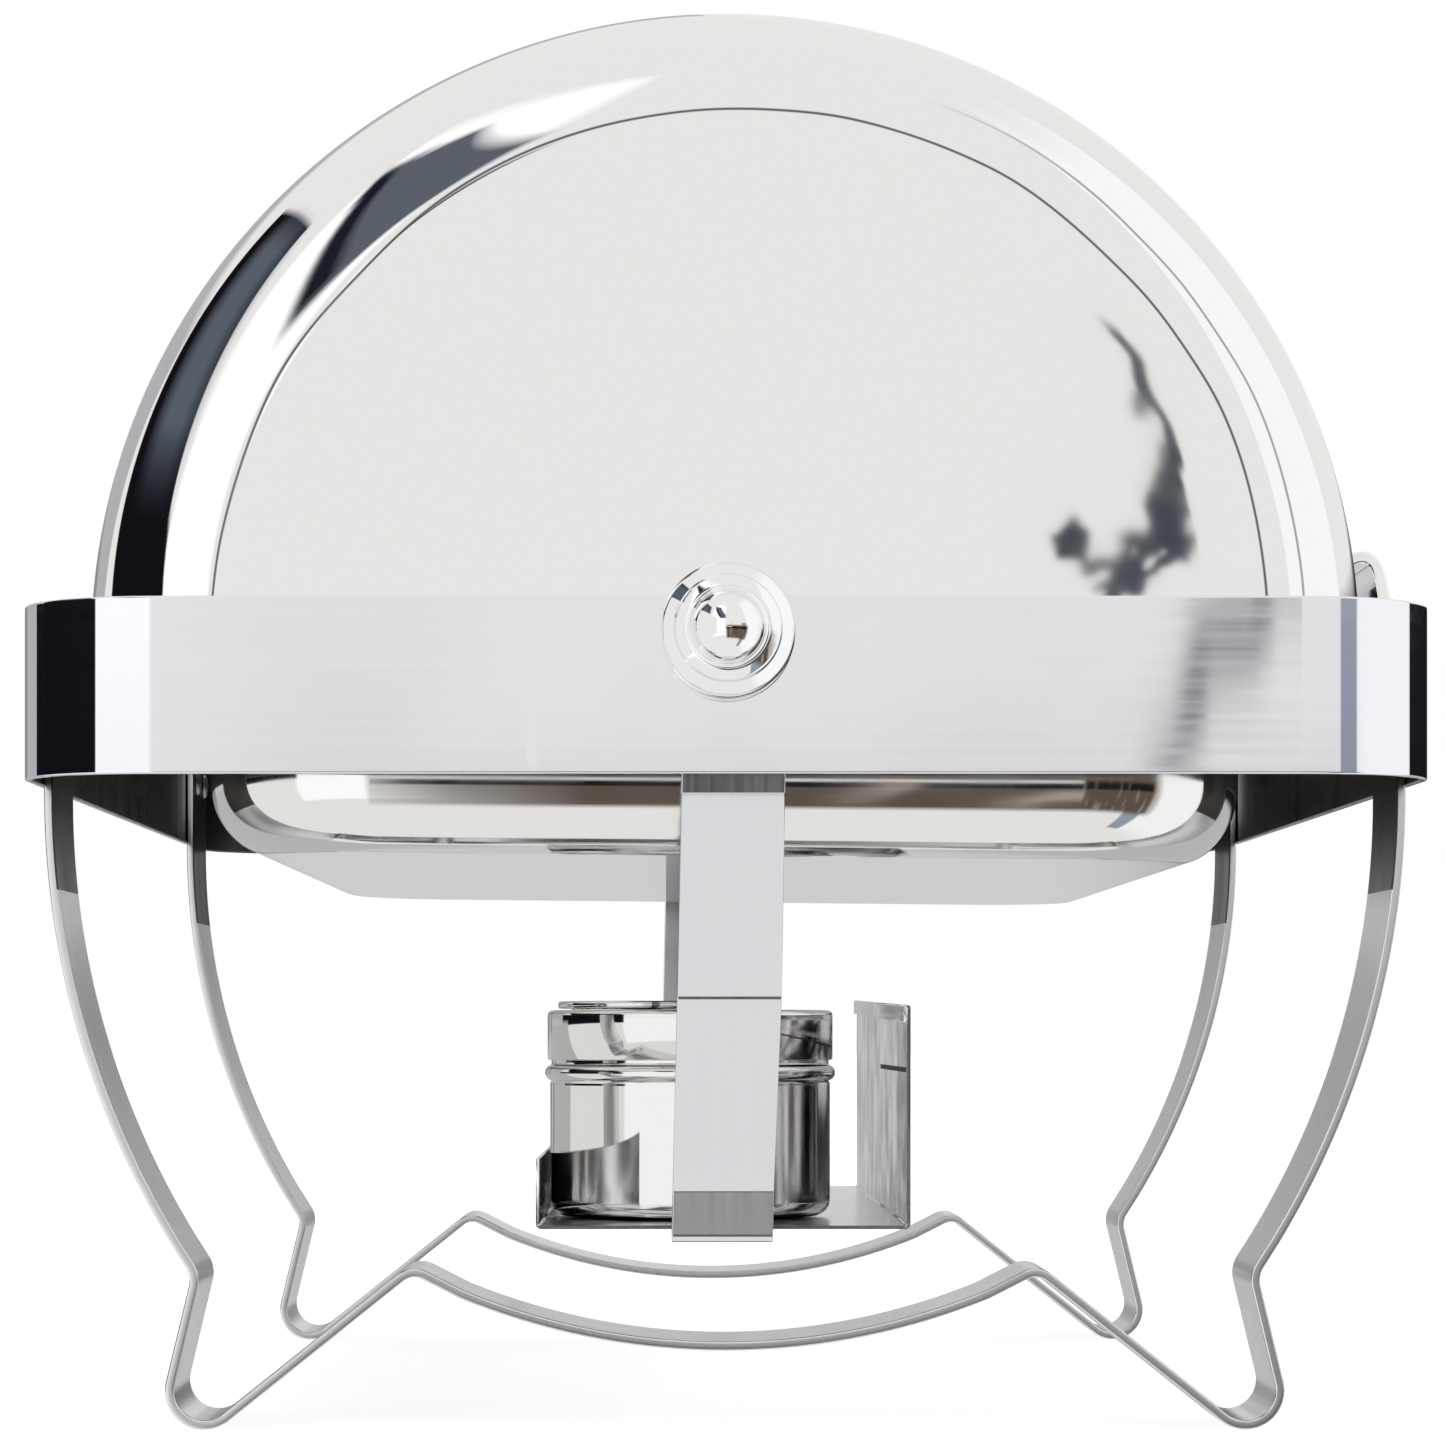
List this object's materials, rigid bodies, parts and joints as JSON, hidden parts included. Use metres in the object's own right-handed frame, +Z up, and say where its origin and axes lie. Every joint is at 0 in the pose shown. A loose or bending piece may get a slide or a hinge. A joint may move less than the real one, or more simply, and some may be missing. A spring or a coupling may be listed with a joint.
{
  "type": "roll top chafer",
  "caption": "Roll top chafing dish: half-cylinder lid with front handle rolls back on ball-knob pivots over a band frame, pans, hung burner tray and bent-strip legs.",
  "frame": {"origin": "middle of the whole chafer at the level its feet stand on", "axes": "+Z up, +Y along the pans and the lid's pivot axis, +X to the front where the handle is"},
  "size_m": [0.4628, 0.679, 0.4565],
  "materials": {
    "satin_stainless": "satin brushed stainless steel, brushed lengthwise",
    "polished_stainless": "mirror polished stainless steel",
    "cup_stainless": "mirror polished deep-drawn stainless steel",
    "bright_chrome": "bright chrome plate",
    "zinc_plated": "plain zinc plated steel",
    "bumper_rubber": "black moulded rubber"
  },
  "bodies": {
    "frame": {"frame_band": "satin_stainless", "pan_carrier": "satin_stainless", "burner_tray": "satin_stainless", "leg_frame_near": "satin_stainless", "hanger_near": "satin_stainless", "leg_frame_far": "satin_stainless", "hanger_far": "satin_stainless", "leg_rivet_near_front_1": "zinc_plated", "leg_rivet_near_front_2": "zinc_plated", "leg_rivet_near_rear_1": "zinc_plated", "leg_rivet_near_rear_2": "zinc_plated", "carrier_bracket_near": "zinc_plated", "bracket_rivet_near_carrier": "zinc_plated", "bracket_rivet_near_band": "zinc_plated", "tray_rivet_near_front": "zinc_plated", "tray_rivet_near_rear": "zinc_plated", "pivot_bolt_near": "zinc_plated", "pivot_nut_near": "zinc_plated", "pivot_washer_near": "zinc_plated", "pivot_spacer_near": "zinc_plated", "leg_rivet_far_front_1": "zinc_plated", "leg_rivet_far_front_2": "zinc_plated", "leg_rivet_far_rear_1": "zinc_plated", "leg_rivet_far_rear_2": "zinc_plated", "carrier_bracket_far": "zinc_plated", "bracket_rivet_far_carrier": "zinc_plated", "bracket_rivet_far_band": "zinc_plated", "tray_rivet_far_front": "zinc_plated", "tray_rivet_far_rear": "zinc_plated", "pivot_bolt_far": "zinc_plated", "pivot_nut_far": "zinc_plated", "pivot_washer_far": "zinc_plated", "pivot_spacer_far": "zinc_plated", "lid_bumper_near": "bumper_rubber", "lid_bumper_far": "bumper_rubber", "pivot_collar_near": "bright_chrome", "pivot_knob_near": "bright_chrome", "pivot_collar_far": "bright_chrome", "pivot_knob_far": "bright_chrome"},
    "lid": {"dome_cover": "polished_stainless", "handle_grip": "bright_chrome", "handle_post_near": "bright_chrome", "handle_post_far": "bright_chrome", "handle_screw_near": "zinc_plated", "handle_screw_far": "zinc_plated"},
    "water_pan": {"water_pan": "polished_stainless"},
    "food_pan": {"food_pan": "polished_stainless"},
    "burner_near": {"fuel_cup_near": "cup_stainless"},
    "burner_lid_near": {"fuel_lid_near": "cup_stainless", "snuffer_rivet_near": "zinc_plated"},
    "snuffer_near": {"snuffer_disc_near": "cup_stainless"},
    "burner_far": {"fuel_cup_far": "cup_stainless"},
    "burner_lid_far": {"fuel_lid_far": "cup_stainless", "snuffer_rivet_far": "zinc_plated"},
    "snuffer_far": {"snuffer_disc_far": "cup_stainless"}
  },
  "joints": [
    {"name": "lid_roll", "type": "hinge", "parent": "frame", "child": "lid", "pos_m": [-0.00835, 0, 0.252], "axis": [0, -1, 0], "range_deg": [0, 78]},
    {"name": "water_pan_lift", "type": "slide", "parent": "frame", "child": "water_pan", "axis": [0, 0, 1], "range_m": [0, 0.02]},
    {"name": "food_pan_lift", "type": "slide", "parent": "water_pan", "child": "food_pan", "axis": [0, 0, 1], "range_m": [0, 0.05]},
    {"name": "burner_near_lift", "type": "slide", "parent": "frame", "child": "burner_near", "axis": [0, 0, 1], "range_m": [0, 0.02]},
    {"name": "burner_lid_near_lift", "type": "slide", "parent": "burner_near", "child": "burner_lid_near", "axis": [0, 0, 1], "range_m": [0, 0.015]},
    {"name": "snuffer_near_swing", "type": "hinge", "parent": "burner_lid_near", "child": "snuffer_near", "pos_m": [-0.01895, -0.078, 0.138], "axis": [0, 0, 1], "range_deg": [-70, 21]},
    {"name": "burner_far_lift", "type": "slide", "parent": "frame", "child": "burner_far", "axis": [0, 0, 1], "range_m": [0, 0.02]},
    {"name": "burner_lid_far_lift", "type": "slide", "parent": "burner_far", "child": "burner_lid_far", "axis": [0, 0, 1], "range_m": [0, 0.015]},
    {"name": "snuffer_far_swing", "type": "hinge", "parent": "burner_lid_far", "child": "snuffer_far", "pos_m": [-0.01895, 0.078, 0.138], "axis": [0, 0, 1], "range_deg": [-21, 70]}
  ]
}
